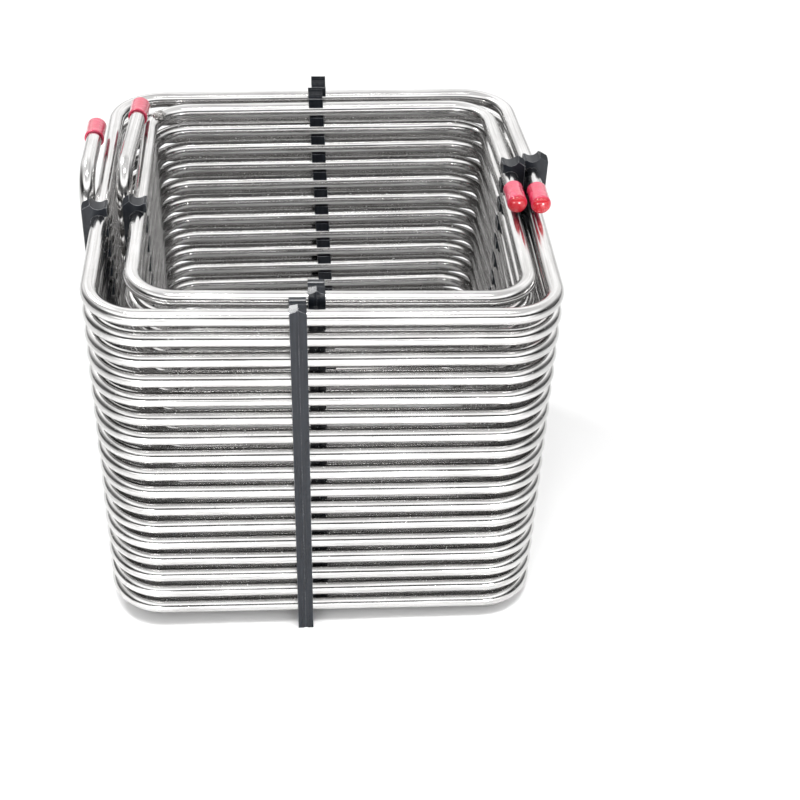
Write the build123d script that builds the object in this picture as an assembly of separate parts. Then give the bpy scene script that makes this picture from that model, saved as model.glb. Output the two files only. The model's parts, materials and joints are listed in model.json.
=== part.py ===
from build123d import *
import os

# Nested pair of square stainless tube coils, each held by four snap-on comb strips.
# Frame: +Z up, floor at z = 0, the capped straight ends of the coils on the +X side point to -Y.
# Millimetres.

# Tube
TUBE_R = 9.525 / 2          # 3/8 in outside diameter
BORE_R = 7.747 / 2          # 0.035 in wall
PITCH = 13.3                # rise of one turn
TURNS = 17                  # turns seen on the front side
FRONT_TOP = 16.95 * PITCH   # height of the tube's centre at the middle of the front side, top turn
LOW_RUN = 0.5 * PITCH       # height of the last run, which is level
BOW_R = 300.0               # bend of the slightly bowed +X side, inside its comb

# Level of the tube's centre, in pitches above the top turn's front side
RIGHT_LEVEL = 0.75
REAR_LEVEL = 0.5
LEFT_LEVEL = 0.25
FRONT_LEVEL = 0.0
CORNER_LEVEL = 0.125        # drop from the middle of a side to its corner

# Combs
COMB_W = 9.2                # along the tube
COMB_FIT = 0.15             # radial play of a tube in its channel
MOUTH = 7.4                 # opening of a channel, which the tube snaps through
TIP = 0.1                   # teeth stand this far inside the tubes
TOP_CUT = {"front": 1.7, "rear": 0.0, "left": 0.0, "right": 0.0}   # top below the middle of its half channel
NIP_DROP = 2.8              # outer edge of the nipped top, below the middle of the half channel
ROOF = 0.4                  # fall of the nipped top to each side, for each mm from its ridge
FLAT_TOPPED = ("rear",)     # sides whose nipped top has no ridge
GROOVE_W = 5.0
GROOVE_D = 0.5

# Caps
CAP_R = 6.0
CAP_PLAY = 0.05             # radial, between cap and tube
CAP_L = 20.5
CAP_END = 1.4               # thickness of the closed end
CAP_GAP = 0.5               # tube end to closed end
CAP_DOME = 2.6              # rounding of the closed end

# One entry for each coil. "combs" gives where each strip's foot stands along its side,
# and "leans" how far it leans along the side for each mm of height.
COILS = {
    "outer": dict(
        left=-125.0, right=127.6, bow=3.1, half_y=124.0, corner=29.0, spine=4.8,
        combs=dict(front=-10.3, rear=5.5, left=-25.0, right=16.0),
        leans=dict(front=-0.0165, rear=0.0, left=0.0, right=0.0),
        supply_y=-26.3, riser_x=-134.95, riser_y=2.0, riser_z=14.2, return_x=-134.0, return_y=70.3,
    ),
    "inner": dict(
        left=-103.1, right=114.4, bow=2.4, half_y=107.0, corner=25.0, spine=3.9,
        combs=dict(front=-0.3, rear=15.5, left=-20.5, right=11.0),
        leans=dict(front=-0.0150, rear=-0.0520, left=0.0, right=0.0),
        supply_y=-24.8, riser_x=-113.15, riser_y=1.0, riser_z=16.6, return_x=-108.4, return_y=94.1,
    ),
}
RISER_BEND = 20.0
RISER_PIECES = 3            # bend, upright run, bend


def level(pitches):
    """Height of the tube's centre, given in pitches above the top turn's front side."""
    return FRONT_TOP + pitches * PITCH


def bowed_x(c):
    """Where the two runs of the bowed side would meet: the bend's middle is at its comb's channels."""
    mid_y = c["combs"]["right"]
    half_turn = (c["bow"] / (c["half_y"] + mid_y) + c["bow"] / (c["half_y"] - mid_y)) / 2
    return c["right"] + c["bow"] + BOW_R * half_turn**2 / 2


def supply_end(c):
    """Centre of the supply end's open face."""
    return Vector(bowed_x(c), c["supply_y"], level(RIGHT_LEVEL))


def return_end(c):
    """Centre of the return end's open face."""
    return Vector(c["return_x"], c["return_y"], level(0) + c["riser_z"])


def return_axis(c):
    """Direction in which the return end points."""
    return Vector(c["return_x"] - c["riser_x"], c["return_y"] - c["riser_y"], 0).normalized()


def centreline(c):
    """Middle of the whole tube: supply end, turns, last run, riser, return end."""
    near, far = -c["half_y"], c["half_y"]
    bowed, mid_y = bowed_x(c), c["combs"]["right"]
    points = [supply_end(c), (bowed, mid_y, level(RIGHT_LEVEL))]
    radii = [BOW_R]
    for turn in range(TURNS):
        points += [
            (c["right"], far, level(REAR_LEVEL + CORNER_LEVEL - turn)),
            (c["left"], far, level(LEFT_LEVEL + CORNER_LEVEL - turn)),
            (c["left"], near, level(FRONT_LEVEL + CORNER_LEVEL - turn)),
            (c["right"], near, level(FRONT_LEVEL - CORNER_LEVEL - turn)),
            (bowed, mid_y, level(RIGHT_LEVEL - 1 - turn)),
        ]
        radii += [c["corner"]] * 4 + [BOW_R]
    points += [(c["right"], far, level(REAR_LEVEL + CORNER_LEVEL - TURNS)), (c["left"], far, LOW_RUN)]
    radii += [c["corner"]] * 2
    points += [
        (c["riser_x"], c["riser_y"], LOW_RUN),
        (c["riser_x"], c["riser_y"], level(0) + c["riser_z"]),
        return_end(c),
    ]
    radii += [RISER_BEND] * 2
    return FilletPolyline(*points, radius=radii)


def tube(spans):
    """Round tube as one solid for each straight run and each bend, butted face to face."""
    section = Circle(TUBE_R) - Circle(BORE_R)
    return Compound([sweep(Plane(origin=s @ 0, z_dir=s % 0) * section, path=s).solid() for s in spans])


def cap(end, axis):
    """Push-on cap over a tube end: round wall, domed closed end."""
    outside = Cylinder(CAP_R, CAP_L, align=(Align.CENTER, Align.CENTER, Align.MIN))
    outside = fillet(outside.edges().group_by(Axis.Z)[-1], CAP_DOME)
    outside = chamfer(outside.edges().group_by(Axis.Z)[0], 0.25)
    inside = Cylinder(TUBE_R + CAP_PLAY, CAP_L - CAP_END, align=(Align.CENTER, Align.CENTER, Align.MIN))
    rim = end - axis * (CAP_L - CAP_END - CAP_GAP)
    return Plane(origin=rim, z_dir=axis) * (outside - inside)


def comb(c, side, outward, foot, levels, lean):
    """Comb strip that stands on the floor: a channel for each level, nipped off in a half channel on top."""
    up, face, tip = Vector(0, 0, 1), TUBE_R + c["spine"], -TUBE_R - TIP
    sideways = up.cross(outward)
    channel_r = TUBE_R + COMB_FIT
    saddle = max(levels) + PITCH
    top = saddle - TOP_CUT[side]

    nip = (face, saddle - NIP_DROP)
    profile = make_face(Polyline((tip, 0), (face, 0), nip, (channel_r, top), (tip, top), close=True))
    for z in levels + [saddle]:
        profile -= Pos(0, z) * Circle(channel_r)
        profile -= Pos(tip, z) * Rectangle(2 * TUBE_R, MOUTH)
    reach = COMB_W + abs(lean) * saddle
    strip = extrude(Plane(origin=foot, x_dir=outward, z_dir=-sideways) * profile, reach, both=True)

    half_w, shift = COMB_W / 2, lean * saddle
    top_left, top_right = (shift - half_w, saddle), (shift + half_w, saddle)
    slab = make_face(Polyline((-half_w, 0), (half_w, 0), top_right, top_left, close=True))
    strip &= extrude(Plane(origin=foot, x_dir=sideways, z_dir=outward) * slab, 2 * face, both=True)

    groove = Polyline((face - GROOVE_D, 0), (face + 1, -GROOVE_W), (face + 1, GROOVE_W), close=True)
    leaning = up + sideways * lean
    strip -= extrude(Plane(origin=foot, x_dir=outward, z_dir=up) * make_face(groove), saddle, dir=leaning)

    if side in FLAT_TOPPED:
        return strip
    ridge_top = foot + outward * channel_r + up * top + sideways * (lean * top)
    ridge = outward * (face - channel_r) - up * (NIP_DROP - TOP_CUT[side])
    over = Polyline((0, 0), (COMB_W, -ROOF * COMB_W), (COMB_W, COMB_W), (-COMB_W, COMB_W),
                    (-COMB_W, -ROOF * COMB_W), close=True)
    roof = Plane(origin=ridge_top - ridge, x_dir=sideways, z_dir=ridge)
    return strip - extrude(roof * make_face(over), 3 * ridge.length)


def combs(c):
    """The four comb strips of one coil, by side, with their channels where the turns pass."""
    middle, half_x = (c["right"] + c["left"]) / 2, (c["right"] - c["left"]) / 2
    rear_foot_share = (c["combs"]["rear"] - middle) / half_x
    last_corner = level(REAR_LEVEL + CORNER_LEVEL - TURNS)
    last_rear = LOW_RUN + (last_corner - LOW_RUN) * (1 + rear_foot_share) / 2
    # side: outward, along, level at the side's middle, rise in pitches for each mm along, place along of its
    # middle, distance of the tube's centre, turns that pass, further channel
    sides = {
        "front": ((0, -1), (1, 0), FRONT_LEVEL, -CORNER_LEVEL / half_x, middle, c["half_y"], TURNS, []),
        "rear": ((0, 1), (1, 0), REAR_LEVEL, CORNER_LEVEL / half_x, middle, c["half_y"], TURNS, [last_rear]),
        "left": ((-1, 0), (0, 1), LEFT_LEVEL, CORNER_LEVEL / c["half_y"], 0, -c["left"], TURNS, []),
        "right": ((1, 0), (0, 1), RIGHT_LEVEL, 0, 0, c["right"] + c["bow"], TURNS + 1, []),
    }
    strips = {}
    for side, (outward, along, mid_level, rise, mid_place, distance, turns, further) in sides.items():
        place, lean = c["combs"][side], c["leans"][side]
        levels = []
        for turn in range(turns):
            leaned = place + lean * level(mid_level - turn)
            levels.append(level(mid_level + rise * (leaned - mid_place) - turn))
        outward, along = Vector(*outward, 0), Vector(*along, 0)
        lean_sideways = lean * Vector(0, 0, 1).cross(outward).dot(along)
        foot = outward * distance + along * place
        strips[side] = comb(c, side, outward, foot, levels + further, lean_sideways)
    return strips


def coil_parts(name, c):
    """Every piece of one coil, by node name."""
    spans = centreline(c).edges()
    riser_starts = len(spans) - 1 - RISER_PIECES
    parts = {
        name + "_supply_end": tube(spans[:1]),
        name + "_coil_tube": tube(spans[1:riser_starts]),
        name + "_riser_tube": tube(spans[riser_starts:-1]),
        name + "_return_end": tube(spans[-1:]),
        name + "_supply_cap": cap(supply_end(c), Vector(0, -1, 0)),
        name + "_return_cap": cap(return_end(c), return_axis(c)),
    }
    for side, strip in combs(c).items():
        parts[name + "_comb_" + side] = strip
    return parts


os.makedirs("parts", exist_ok=True)
for name, sizes in COILS.items():
    for node, solid in coil_parts(name, sizes).items():
        export_step(solid, "parts/" + node + ".step")
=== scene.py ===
"""Looks of the nested pair of square stainless tube coils: steel, combs, caps, light and camera. Metres."""
import json
import math

import bmesh
import bpy
import numpy as np
from mathutils import Matrix, Quaternion, Vector, noise


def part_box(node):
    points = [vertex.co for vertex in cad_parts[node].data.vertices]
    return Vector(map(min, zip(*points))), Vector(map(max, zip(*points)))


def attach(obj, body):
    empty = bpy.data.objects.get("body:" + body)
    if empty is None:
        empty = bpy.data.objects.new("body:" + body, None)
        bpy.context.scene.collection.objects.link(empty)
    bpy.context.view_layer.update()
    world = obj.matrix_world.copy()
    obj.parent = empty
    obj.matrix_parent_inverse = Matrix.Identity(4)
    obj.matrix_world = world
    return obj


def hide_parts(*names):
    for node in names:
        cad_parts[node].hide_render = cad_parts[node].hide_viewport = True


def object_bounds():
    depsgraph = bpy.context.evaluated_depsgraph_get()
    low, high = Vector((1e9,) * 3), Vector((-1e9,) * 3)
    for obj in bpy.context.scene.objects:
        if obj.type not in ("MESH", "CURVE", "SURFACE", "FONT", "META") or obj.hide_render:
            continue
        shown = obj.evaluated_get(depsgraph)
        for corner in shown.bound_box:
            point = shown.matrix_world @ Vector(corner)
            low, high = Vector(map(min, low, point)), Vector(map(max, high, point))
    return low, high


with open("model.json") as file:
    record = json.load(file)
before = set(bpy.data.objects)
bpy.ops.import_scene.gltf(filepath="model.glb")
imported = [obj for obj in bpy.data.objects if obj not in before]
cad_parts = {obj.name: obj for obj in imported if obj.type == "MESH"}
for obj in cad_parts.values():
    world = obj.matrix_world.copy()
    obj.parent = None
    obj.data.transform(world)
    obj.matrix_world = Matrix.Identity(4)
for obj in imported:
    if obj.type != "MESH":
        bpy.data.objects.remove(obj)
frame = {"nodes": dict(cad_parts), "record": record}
cad_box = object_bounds()
mounts = {mount["name"]: mount for mount in frame["record"]["mounts"]}

MM = 0.001
COILS = ("outer", "inner")
ENDS = ("supply", "return")
SIDES = ("front", "rear", "left", "right")

# The tube's path, as the CAD bends it
TUBE_R = 4.7625 * MM
BORE_R = 3.8735 * MM
BORE_SHOWN = 32 * MM        # depth to which the open ends are hollow
PITCH = 13.3 * MM
TURNS = 17
BOW = {"outer": 3.1 * MM, "inner": 2.4 * MM}
BOW_BEND = 300 * MM
CORNER_BEND = {"outer": 29 * MM, "inner": 25 * MM}
RISER_BEND = 20 * MM
COMB_TIP = 0.1 * MM         # combs reach this far inside the tubes

# The visual tube
TUBE_SIDES = 32
RUN_STEP = 7 * MM           # spacing of the rings on straight runs
BEND_STEP = math.radians(6)
WAVER = 0.45 * MM           # how far a turn strays inward or up between its combs
WAVER_HELD = 16 * MM        # a comb holds the tube this far to each side
WAVER_EASE = 50 * MM        # and the stray grows to its full size over this length
PULL_LENGTH = 160 * MM      # length over which the stray changes, inward and up or down
LIFT_LENGTH = 210 * MM
LIP = 0.12 * MM             # bevel of the tubes' open ends

# The weld spot: its place round its bend, then how far from the tube's middle
WELD_AT = math.radians(32)
WELD_INWARD = 1.5 * MM
WELD_UP = TUBE_R - 1.3 * MM
WELD_SIZE = (3.6 * MM, 5.2 * MM, 2.3 * MM)

CAP_GAP = 0.02 * MM         # the visual cap is this much inside the CAD cap
CAP_SIDES = 64

# Camera, at the photograph's viewing angle
CAMERA_AT = (-0.02651, -0.73118, 0.64191)
CAMERA_TURN = 6.175         # degrees to the right of +Y
CAMERA_DOWN = 36.98
CAMERA_ROLL = 2.68
LENS = 62.795
SHIFT = (0.00546, -0.0228)

# Light: brightness of the room by height, 0 at the horizon and 1 overhead, on the camera's side and behind
ROOM_LIGHT = 2.55
FRONT_LIGHT = ((0.0, 1.0), (0.13, 1.0), (0.22, 0.05), (0.52, 0.05), (0.60, 0.80), (0.78, 0.75), (0.88, 0.36))
BACK_LIGHT = ((0.0, 0.22), (0.24, 0.56), (0.60, 0.62), (0.80, 0.40))
SIDE_LIGHT = 0.35           # brightness toward the left and right, where x is over 0.90
FLOOR_REACH = 6.0
FLOOR_LIGHT = 2.6           # lamp that shines straight down on the floor in front


# ---------------------------------------------------------------- node helpers
class Nodes:
    """Short calls that add nodes to a tree."""

    def __init__(self, tree):
        self.tree = tree

    def add(self, kind, settings=None, **inputs):
        node = self.tree.nodes.new(kind)
        for key, value in (settings or {}).items():
            setattr(node, key, value)
        for key, value in inputs.items():
            self.put(node.inputs[key.replace("_", " ")], value)
        return node

    def put(self, socket, value):
        if isinstance(value, bpy.types.NodeSocket):
            self.tree.links.new(value, socket)
        else:
            socket.default_value = value

    def math(self, operation, *values):
        node = self.add("ShaderNodeMath", {"operation": operation})
        for socket, value in zip(node.inputs, values):
            self.put(socket, value)
        return node.outputs[0]

    def split(self, vector):
        node = self.add("ShaderNodeSeparateXYZ", Vector=vector)
        return node.outputs[0], node.outputs[1], node.outputs[2]

    def remap(self, value, low, high, to_low=0.0, to_high=1.0):
        node = self.add("ShaderNodeMapRange", {"clamp": True})
        for socket, part in zip(node.inputs, (value, low, high, to_low, to_high)):
            self.put(socket, part)
        return node.outputs[0]

    def mix(self, factor, a, b):
        node = self.add("ShaderNodeMix", {"data_type": "RGBA"})
        colours = [s for s in node.inputs if s.type == "RGBA"]
        self.put(node.inputs[0], factor)
        for socket, value in zip(colours, (a, b)):
            self.put(socket, value if isinstance(value, bpy.types.NodeSocket) else (*value, 1.0))
        return next(s for s in node.outputs if s.type == "RGBA")

    def ramp(self, value, stops):
        """Grey that passes through the stops, each a place from 0 to 1 and a level."""
        node = self.add("ShaderNodeValToRGB", Fac=value)
        elements = node.color_ramp.elements
        while len(elements) < len(stops):
            elements.new(0.5)
        for element, (place, level) in zip(elements, stops):
            element.position = place
            element.color = (level, level, level, 1)
        return node.outputs[0]


class Shader(Nodes):
    """A material and short calls that add nodes to it."""

    def __init__(self, name):
        self.material = bpy.data.materials.new(name)
        self.material.use_nodes = True
        super().__init__(self.material.node_tree)
        self.principled = self.tree.nodes["Principled BSDF"]
        self.at = self.add("ShaderNodeTexCoord").outputs["Object"]

    def attribute(self, name):
        return self.add("ShaderNodeAttribute", {"attribute_name": name})

    def join(self, x, y, z):
        return self.add("ShaderNodeCombineXYZ", X=x, Y=y, Z=z).outputs[0]

    def noise(self, vector, scale, detail):
        return self.add("ShaderNodeTexNoise", Vector=vector, Scale=scale, Detail=detail).outputs[0]

    def bump(self, height, strength, distance, normal=None):
        node = self.add("ShaderNodeBump", Height=height, Strength=strength, Distance=distance)
        if normal is not None:
            self.put(node.inputs["Normal"], normal)
        return node.outputs[0]

    def set(self, **inputs):
        for key, value in inputs.items():
            if isinstance(value, tuple):
                value = (*value, 1.0)
            self.put(self.principled.inputs[key.replace("_", " ")], value)


# ---------------------------------------------------------------- materials
STEEL_DULL = (0.51, 0.503, 0.497)
STEEL_BRIGHT = (0.68, 0.675, 0.670)


def drawn_steel():
    """Bright drawn stainless. The grain follows the tube: attribute along runs down it, ring goes round it.
    The undersides are painted darker, a painted shade between the turns."""
    s = Shader("drawn_steel")
    along = s.attribute("along").outputs["Fac"]
    round_x, round_y, _ = s.split(s.attribute("ring").outputs["Vector"])

    def grain(per_mm, length_mm, detail):
        """Noise drawn out along the tube: features 1 / per_mm wide and length_mm long."""
        fine = per_mm / MM
        vector = s.join(s.math("MULTIPLY", round_x, fine), s.math("MULTIPLY", round_y, fine),
                        s.math("MULTIPLY", along, 1 / (length_mm * MM)))
        return s.noise(vector, 1.0, detail)

    hair = grain(3.0, 12.0, 2.0)
    streak = grain(0.8, 40.0, 2.0)
    wave = grain(0.22, 45.0, 1.0)
    die_line = s.remap(grain(1.5, 190.0, 1.0), 0.60, 0.70)
    cloud = s.noise(s.at, 34.0, 3.0)
    fleck = s.remap(grain(1.1, 1.5, 1.0), 0.72, 0.77)
    pit = s.remap(s.noise(s.at, 900.0, 1.0), 0.73, 0.78)

    tone = s.math("ADD", s.math("MULTIPLY", streak, 0.6), s.math("MULTIPLY", cloud, 0.4))
    colour = s.mix(s.remap(tone, 0.38, 0.62), STEEL_DULL, STEEL_BRIGHT)
    colour = s.mix(s.math("MULTIPLY", die_line, 0.35), colour, (0.26, 0.25, 0.245))
    colour = s.mix(s.math("MULTIPLY", fleck, 0.7), colour, (0.85, 0.85, 0.85))
    colour = s.mix(s.math("MULTIPLY", pit, 0.5), colour, (0.20, 0.19, 0.18))
    _, _, facing_up = s.split(s.add("ShaderNodeNewGeometry").outputs["Normal"])
    # Painted shade: the colour darkens where the surface faces down, under each turn, more in some patches
    # than in others.
    underside_painted_shade = s.math("MULTIPLY", s.remap(facing_up, -0.25, -0.60), s.remap(cloud, 0.3, 0.7, 0.28, 0.50))
    colour = s.mix(underside_painted_shade, colour, (0.05, 0.048, 0.046))
    rough = s.math("ADD", s.remap(streak, 0.35, 0.65, 0.09, 0.19), s.remap(cloud, 0.4, 0.7, 0.0, 0.08))
    rough = s.math("ADD", rough, s.math("MULTIPLY", fleck, 0.2))
    relief = s.math("ADD", s.math("MULTIPLY", hair, 0.12), s.math("MULTIPLY", streak, 0.45))
    relief = s.math("SUBTRACT", relief, s.math("MULTIPLY", die_line, 0.20))
    relief = s.math("SUBTRACT", relief, s.math("MULTIPLY", s.math("ADD", fleck, pit), 0.35))
    relief = s.math("ADD", relief, s.math("MULTIPLY", wave, 2.2))
    s.set(Base_Color=colour, Metallic=1.0, Roughness=rough, Normal=s.bump(relief, 0.6, 0.06 * MM))
    return s.material


def weld_steel():
    """The rough weld spot: darker in its folds, with a hint of heat colour."""
    s = Shader("weld_steel")
    lump = s.noise(s.at, 620.0, 3.0)
    fine = s.noise(s.at, 2400.0, 2.0)
    colour = s.mix(s.remap(lump, 0.35, 0.65), (0.24, 0.23, 0.22), (0.62, 0.61, 0.60))
    colour = s.mix(s.remap(fine, 0.62, 0.72), colour, (0.42, 0.36, 0.30))
    rough = s.remap(lump, 0.3, 0.7, 0.36, 0.18)
    s.set(Base_Color=colour, Metallic=1.0, Roughness=rough, Normal=s.bump(lump, 0.5, 0.3 * MM))
    return s.material


def comb_plastic():
    """Charcoal moulded plastic: fine satin skin, flow marks up the strip and paler edges, partly rubbed wear
    and partly a painted highlight.
    """
    s = Shader("charcoal_plastic")
    x, y, z = s.split(s.at)
    skin = s.noise(s.at, 1900.0, 2.0)
    across, up = 420.0, 22.0
    drawn = s.join(s.math("MULTIPLY", x, across), s.math("MULTIPLY", y, across), s.math("MULTIPLY", z, up))
    flow = s.noise(drawn, 1.0, 3.0)
    cloud = s.noise(s.at, 60.0, 3.0)
    rounded = s.add("ShaderNodeBevel", {"samples": 6}, Radius=0.32 * MM).outputs[0]
    flat = s.add("ShaderNodeNewGeometry").outputs["Normal"]
    turn = s.add("ShaderNodeVectorMath", {"operation": "DOT_PRODUCT"})
    s.put(turn.inputs[0], rounded)
    s.put(turn.inputs[1], flat)
    edge = s.remap(turn.outputs["Value"], 0.995, 0.86)
    # Paler edges: partly rubbed wear, partly a painted highlight standing in for the glints along them.
    edge_wear_and_highlight = s.math("MULTIPLY", edge, s.remap(cloud, 0.40, 0.6, 0.15, 1.0))
    colour = s.mix(s.remap(flow, 0.35, 0.65), (0.006, 0.0078, 0.0115), (0.012, 0.0145, 0.0195))
    colour = s.mix(edge_wear_and_highlight, colour, (0.46, 0.47, 0.49))
    rough = s.math("ADD", s.remap(cloud, 0.3, 0.7, 0.14, 0.24), s.math("MULTIPLY", skin, 0.06))
    relief = s.math("ADD", s.math("MULTIPLY", skin, 0.5), s.math("MULTIPLY", flow, 0.12))
    s.set(Base_Color=colour, Roughness=rough, IOR=1.35, Normal=s.bump(relief, 0.35, 0.05 * MM, rounded))
    return s.material


def cap_vinyl():
    """Glossy dipped vinyl with soft waves and dust; its sides are painted pinker as a painted reflection of
    light, and its end deep red as painted shade.
    """
    s = Shader("red_vinyl")
    wave = s.noise(s.at, 190.0, 2.0)
    skin = s.noise(s.at, 1500.0, 2.0)
    dust = s.remap(s.noise(s.at, 2600.0, 1.0), 0.70, 0.76)
    colour = s.mix(s.remap(wave, 0.35, 0.65), (0.56, 0.030, 0.075), (0.64, 0.045, 0.115))
    # Painted light: the end of the cap is painted a deeper red as painted shade, and the sides stay pinker as
    # a painted reflection.
    end = s.remap(s.attribute("reach").outputs["Fac"], 0.84, 0.90)
    colour = s.mix(end, colour, (0.52, 0.016, 0.028))
    colour = s.mix(s.math("MULTIPLY", dust, 0.3), colour, (0.9, 0.6, 0.6))
    rough = s.math("ADD", s.remap(wave, 0.3, 0.7, 0.20, 0.30), s.math("MULTIPLY", dust, 0.2))
    relief = s.math("ADD", s.math("MULTIPLY", wave, 0.45), s.math("MULTIPLY", skin, 0.08))
    s.set(Base_Color=colour, Roughness=rough, Normal=s.bump(relief, 0.4, 0.25 * MM))
    s.set(Coat_Weight=1.0, Coat_Roughness=0.05, IOR=1.3)
    return s.material


# ---------------------------------------------------------------- pieces
def new_piece(name, mesh, body, replaced=()):
    piece = bpy.data.objects.new(name, mesh)
    bpy.context.scene.collection.objects.link(piece)
    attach(piece, body)
    if replaced:
        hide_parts(*replaced)
    return piece


def open_end(coil, end):
    """Centre of a tube end's open face, and the direction in which it points."""
    mount = mounts[coil + "_" + end + "_bore"]
    axis = Vector(mount["axis"]).normalized()
    return Vector(mount["pos_m"]) + axis * (mount["dims"]["length_mm"] * MM / 2), axis


def comb_place(coil, side):
    """Where the comb's strip is along its side, at its top."""
    low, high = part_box(coil + "_comb_" + side)
    across = 0 if side in ("front", "rear") else 1
    return (low[across] + high[across]) / 2


def coil_sides(coil):
    """Where the middle of the tube runs: x on the left and right side, y on the rear."""
    reach = TUBE_R + COMB_TIP
    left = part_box(coil + "_comb_left")[1].x - reach
    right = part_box(coil + "_comb_right")[0].x + reach - BOW[coil]
    return left, right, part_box(coil + "_comb_rear")[0].y + reach


def coil_route(coil):
    """Corner points of the tube's middle and the bends' radii, from the supply end to the return end."""
    left, right, half_y = coil_sides(coil)
    supply, _ = open_end(coil, "supply")
    back, _ = open_end(coil, "return")
    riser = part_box(coil + "_riser_tube")[0] + Vector((TUBE_R, TUBE_R, TUBE_R))
    mid_y = comb_place(coil, "right")
    # Each corner of a turn, and how far the tube has come down by then, in pitches
    corners = (
        (right, half_y, -0.125),
        (left, half_y, -0.375),
        (left, -half_y, -0.625),
        (right, -half_y, -0.875),
        (supply.x, mid_y, -1.0),
    )
    points, radii = [supply, Vector((supply.x, mid_y, supply.z))], [BOW_BEND]
    for turn in range(TURNS):
        points += [Vector((x, y, supply.z + (drop - turn) * PITCH)) for x, y, drop in corners]
        radii += [CORNER_BEND[coil]] * 4 + [BOW_BEND]
    x, y, drop = corners[0]
    points.append(Vector((x, y, supply.z + (drop - TURNS) * PITCH)))
    points += [Vector((left, half_y, riser.z)), riser, Vector((riser.x, riser.y, back.z)), back]
    radii += [CORNER_BEND[coil]] * 2 + [RISER_BEND] * 2
    return points, radii


def rounded(points, radii):
    """Points along straight runs joined by tangent bends."""
    places = [points[0]]

    def run_to(end):
        start = places[-1]
        steps = max(1, math.ceil((end - start).length / RUN_STEP))
        places.extend(start.lerp(end, i / steps) for i in range(1, steps + 1))

    for before, corner, after, radius in zip(points, points[1:], points[2:], radii):
        enter, leave = (corner - before).normalized(), (after - corner).normalized()
        turn = enter.angle(leave)
        start = corner - enter * (radius * math.tan(turn / 2))
        centre = corner + (leave - enter).normalized() * (radius / math.cos(turn / 2))
        run_to(start)
        steps = max(3, math.ceil(turn / BEND_STEP))
        hinge = enter.cross(leave)
        places.extend(
            centre + Quaternion(hinge, turn * i / steps) @ (start - centre) for i in range(1, steps + 1)
        )
    run_to(points[-1])
    return np.array(places)


def distance_along(places):
    return np.concatenate([[0], np.cumsum(np.linalg.norm(np.diff(places, axis=0), axis=1))])


def wavering(places, coil):
    """The wound part strays a little inward and up or down between its combs, as hand-bent turns do."""
    combs = []
    for side in SIDES:
        low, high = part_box(coil + "_comb_" + side)
        combs.append([(low.x + high.x) / 2, (low.y + high.y) / 2])
    near = np.min([np.hypot(*(places[:, :2] - c).T) for c in combs], axis=0)
    share = np.clip((near - WAVER_HELD) / WAVER_EASE, 0, 1)
    share = share * share * (3 - 2 * share)
    held = np.flatnonzero(near < WAVER_HELD)
    share[: held[0]] = 0
    share[held[-1]:] = 0
    reach = distance_along(places)
    inward = -np.sign(places) * (np.abs(places) > 0.6 * np.abs(places).max(0))
    inward[:, 2] = 0
    for i in np.flatnonzero(share > 0):
        pull = noise.noise(Vector((reach[i] / PULL_LENGTH, 3.1, 0.0)))
        lift = noise.noise(Vector((reach[i] / LIFT_LENGTH, 8.7, 0.0)))
        places[i] += share[i] * WAVER * (abs(pull) * inward[i] + np.array((0, 0, lift)))
    return places


def tube_mesh(name, places, material):
    """Round tube along the places, hollow at both ends, with the attributes that the grain follows."""
    count = len(places)
    tangents = np.gradient(places, axis=0)
    tangents /= np.linalg.norm(tangents, axis=1)[:, None]
    side = np.cross(tangents[0], (0, 0, 1.0))
    sides = []
    for tangent in tangents:
        side = side - tangent * (side @ tangent)
        side = side / np.linalg.norm(side)
        sides.append(side)
    sides = np.array(sides)
    others = np.cross(tangents, sides)
    angle = np.linspace(0, 2 * math.pi, TUBE_SIDES, endpoint=False)
    wheel = np.stack([np.cos(angle), np.sin(angle)], 1)
    reach = distance_along(places)

    # From the bottom of the supply end's bore, out over its lip, down the tube and into the return end's bore
    near = [i for i in range(count) if reach[i] < BORE_SHOWN]
    far = [i for i in range(count) if reach[i] > reach[-1] - BORE_SHOWN]
    last = count - 1
    stations = [(i, BORE_R, 0.0) for i in reversed(near)]
    stations += [(0, BORE_R + LIP, 0.0), (0, TUBE_R - LIP, 0.0), (0, TUBE_R, LIP)]
    stations += [(i, TUBE_R, 0.0) for i in range(1, last)]
    stations += [(last, TUBE_R, -LIP), (last, TUBE_R - LIP, 0.0), (last, BORE_R + LIP, 0.0)]
    stations += [(i, BORE_R, 0.0) for i in reversed(far)]
    index = np.array([i for i, _, _ in stations])
    radius = np.array([r for _, r, _ in stations])
    shift = np.array([d for _, _, d in stations])
    middle = places[index] + tangents[index] * shift[:, None]
    rings = middle[:, None] + radius[:, None, None] * (
        wheel[None, :, :1] * sides[index][:, None] + wheel[None, :, 1:] * others[index][:, None]
    )
    rows = len(stations)
    corner = np.arange(rows * TUBE_SIDES).reshape(rows, TUBE_SIDES)
    after = np.roll(corner, -1, axis=1)
    faces = np.stack([corner[:-1], after[:-1], after[1:], corner[1:]], -1).reshape(-1, 4).tolist()
    faces += [corner[0][::-1].tolist(), corner[-1].tolist()]
    mesh = bpy.data.meshes.new(name)
    mesh.from_pydata(rings.reshape(-1, 3).tolist(), [], faces)
    along = mesh.attributes.new("along", "FLOAT", "POINT")
    along.data.foreach_set("value", np.repeat(reach[index], TUBE_SIDES))
    flat = np.zeros((rows, TUBE_SIDES, 3))
    flat[:, :, :2] = radius[:, None, None] * wheel[None]
    ring = mesh.attributes.new("ring", "FLOAT_VECTOR", "POINT")
    ring.data.foreach_set("vector", flat.ravel())
    mesh.materials.append(material)
    tidy_normals(mesh, 40)
    return mesh


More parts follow.
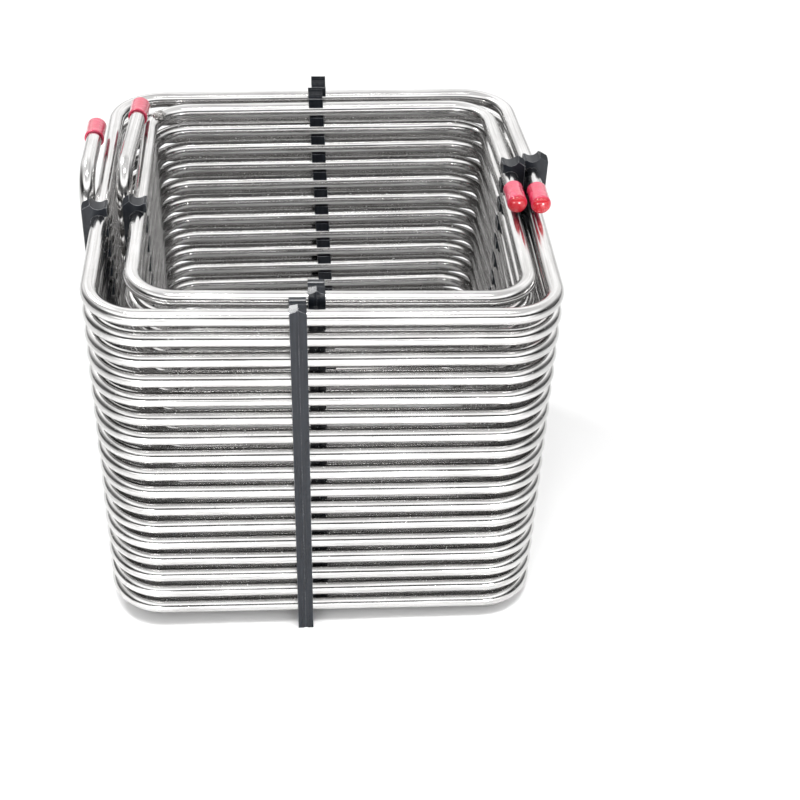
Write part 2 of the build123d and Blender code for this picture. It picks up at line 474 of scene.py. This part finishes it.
def tidy_normals(mesh, sharp_degrees):
    """Normals point out, smooth but for edges sharper than the angle."""
    work = bmesh.new()
    work.from_mesh(mesh)
    bmesh.ops.recalc_face_normals(work, faces=work.faces)
    for edge in work.edges:
        edge.smooth = edge.calc_face_angle(0) < math.radians(sharp_degrees)
    for face in work.faces:
        face.smooth = True
    work.to_mesh(mesh)
    work.free()


def make_tubes():
    steel = drawn_steel()
    for coil in COILS:
        places = wavering(rounded(*coil_route(coil)), coil)
        mesh = tube_mesh(coil + "_tube", places, steel)
        nodes = [coil + part for part in ("_coil_tube", "_riser_tube", "_supply_end", "_return_end")]
        new_piece(coil + "_tube", mesh, coil + "_coil", nodes)


def make_weld_spot():
    """Small rough weld on the inner coil's rear left corner, top turn."""
    left, _, half_y = coil_sides("inner")
    supply, _ = open_end("inner", "supply")
    bend = CORNER_BEND["inner"]
    arm = bend - WELD_INWARD
    place = Vector((left + bend - arm * math.cos(WELD_AT), half_y - bend + arm * math.sin(WELD_AT),
                    supply.z - 0.375 * PITCH + WELD_UP))
    work = bmesh.new()
    bmesh.ops.create_icosphere(work, subdivisions=5, radius=1.0)
    for vert in work.verts:
        rough = 1 + 0.34 * noise.fractal(vert.co * 2.6, 0.6, 2.2, 4) + 0.12 * noise.noise(vert.co * 9)
        lump = vert.co * Vector(WELD_SIZE) * rough
        lump.rotate(Quaternion((0, 0, 1), -WELD_AT))
        vert.co = place + lump
    mesh = bpy.data.meshes.new("inner_weld_spot")
    work.to_mesh(mesh)
    work.free()
    mesh.materials.append(weld_steel())
    tidy_normals(mesh, 180)
    new_piece("inner_weld_spot", mesh, "inner_coil")


def cap_profile(radius, length):
    """Each ring's distance from the axis and its height over the rim, from the bore's bottom to the dome."""
    bore, lip, edge, dome = TUBE_R + 0.05 * MM, 0.35 * MM, 1.3 * MM, 2.0 * MM
    bottom = length - 1.4 * MM
    rings = [(bore * 0.02, bottom), (bore, bottom), (bore, 2 * MM), (bore, lip)]
    rings += [(bore + lip * (1 - math.cos(a)), lip * (1 - math.sin(a))) for a in (0.5, 1.0, 1.57)]
    rings += [(radius - lip * (1 - math.sin(a)), lip * (1 - math.cos(a))) for a in (0.0, 0.5, 1.0, 1.57)]
    rings += [(radius, 1.2 * MM), (radius - 0.10 * MM, 2.2 * MM), (radius - 0.12 * MM, 6 * MM)]
    rings += [(radius - 0.08 * MM, length * 0.55), (radius - 0.05 * MM, length - 3.6 * MM)]
    for step in range(9):
        a = step / 8 * math.radians(66)
        out = radius - 0.05 * MM - edge * (1 - math.cos(a))
        rings.append((out, length - dome - 0.45 * MM + edge * (math.sin(a) - 1)))
    out, up = rings[-1]
    rise = length - up
    rings += [(out * math.sin(b), up + rise * math.cos(b)) for b in np.radians(range(80, 0, -10))]
    rings.append((0.02 * MM, length))
    return rings


def make_caps():
    vinyl = cap_vinyl()
    low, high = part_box("outer_supply_cap")
    radius, length = (high.x - low.x) / 2 - CAP_GAP, high.y - low.y
    beyond = open_end("outer", "supply")[0].y - low.y
    profile = cap_profile(radius, length)
    rows = [range(start, start + CAP_SIDES) for start in range(0, len(profile) * CAP_SIDES, CAP_SIDES)]
    faces = [tuple(rows[0]), tuple(rows[-1])]
    for row, after in zip(rows, rows[1:]):
        for k in range(CAP_SIDES):
            m = (k + 1) % CAP_SIDES
            faces.append((row[k], row[m], after[m], after[k]))
    for coil in COILS:
        for end in ENDS:
            name = coil + "_" + end + "_cap"
            tip, axis = open_end(coil, end)
            turn = axis.to_track_quat("Z", "Y").to_matrix()
            rim = tip - axis * (length - beyond)
            verts = []
            for r, h in profile:
                for k in range(CAP_SIDES):
                    a = 2 * math.pi * k / CAP_SIDES
                    verts.append(rim + turn @ Vector((r * math.cos(a), r * math.sin(a), h)))
            mesh = bpy.data.meshes.new(name + "_vinyl")
            mesh.from_pydata(verts, [], faces)
            reach = mesh.attributes.new("reach", "FLOAT", "POINT")
            reach.data.foreach_set("value", np.repeat([h / length for _, h in profile], CAP_SIDES))
            mesh.materials.append(vinyl)
            tidy_normals(mesh, 50)
            new_piece(name + "_vinyl", mesh, coil + "_" + end + "_plug", [name])


def finish_combs():
    """The combs keep their CAD shape and get their plastic."""
    plastic = comb_plastic()
    for coil in COILS:
        for side in SIDES:
            node = frame["nodes"][coil + "_comb_" + side]
            node.data.materials.clear()
            node.data.materials.append(plastic)


# ---------------------------------------------------------------- stage
def make_floor():
    s = Shader("pale_floor")
    mottle = s.noise(s.at, 3.0, 3.0)
    s.set(Base_Color=s.mix(mottle, (0.86, 0.86, 0.86), (0.88, 0.88, 0.88)), Roughness=0.7)
    mesh = bpy.data.meshes.new("floor")
    grid = bmesh.new()
    bmesh.ops.create_grid(grid, x_segments=1, y_segments=1, size=FLOOR_REACH)
    grid.to_mesh(mesh)
    grid.free()
    mesh.materials.append(s.material)
    floor = bpy.data.objects.new("floor", mesh)
    floor.location.z = cad_box[0].z
    bpy.context.scene.collection.objects.link(floor)


def make_room():
    """Bright room round the object: its light changes with height, and is weaker to the left and right."""
    world = bpy.data.worlds.new("studio")
    bpy.context.scene.world = world
    world.use_nodes = True
    n = Nodes(world.node_tree)
    x, y, height = n.split(n.add("ShaderNodeTexCoord").outputs["Generated"])
    camera_side = n.remap(y, 0.15, -0.25)
    light = n.mix(camera_side, n.ramp(height, BACK_LIGHT), n.ramp(height, FRONT_LIGHT))
    strength = n.remap(n.math("ABSOLUTE", x), 0.66, 0.90, ROOM_LIGHT, SIDE_LIGHT)
    background = n.tree.nodes["Background"]
    n.put(background.inputs["Color"], light)
    n.put(background.inputs["Strength"], strength)


def make_lamps():
    """Two small windows for the glints, a lamp behind the left corner and one straight over the floor."""
    centre = (cad_box[0] + cad_box[1]) / 2
    lamps = {
        "window_left": ((-0.40, -1.10, 0.14), centre, 0.26, 4.0, 180),
        "window_right": ((0.45, -1.10, 0.14), centre, 0.26, 4.0, 180),
        "rear_spot": ((-0.65, 0.57, 1.12), centre, 0.20, 5.0, 180),
        "floor_lamp": ((0.0, -0.52, 1.6), (0.0, -0.52, 0.0), 0.75, FLOOR_LIGHT, 30),
    }
    for name, (place, target, size, power, spread) in lamps.items():
        light = bpy.data.lights.new(name, "AREA")
        light.shape = "SQUARE"
        light.size = size
        light.energy = power
        light.spread = math.radians(spread)
        lamp = bpy.data.objects.new(name, light)
        lamp.location = place
        lamp.rotation_euler = (Vector(target) - Vector(place)).to_track_quat("-Z", "Y").to_euler()
        bpy.context.scene.collection.objects.link(lamp)


def make_camera():
    turn, down, roll = (math.radians(a) for a in (CAMERA_TURN, CAMERA_DOWN, CAMERA_ROLL))
    ahead = Vector((math.sin(turn) * math.cos(down), math.cos(turn) * math.cos(down), -math.sin(down)))
    level = Vector((math.cos(turn), -math.sin(turn), 0))
    above = level.cross(ahead)
    right = level * math.cos(roll) + above * math.sin(roll)
    up = above * math.cos(roll) - level * math.sin(roll)
    data = bpy.data.cameras.new("camera")
    data.lens = LENS
    data.shift_x, data.shift_y = SHIFT
    data.clip_start, data.clip_end = 0.05, 30.0
    camera = bpy.data.objects.new("camera", data)
    camera.matrix_world = Matrix.Translation(CAMERA_AT) @ Matrix((right, up, -ahead)).transposed().to_4x4()
    bpy.context.scene.collection.objects.link(camera)
    bpy.context.scene.camera = camera


make_camera()
make_room()
make_lamps()
make_floor()
make_tubes()
make_weld_spot()
make_caps()
finish_combs()
bpy.context.scene.view_settings.view_transform = "Standard"
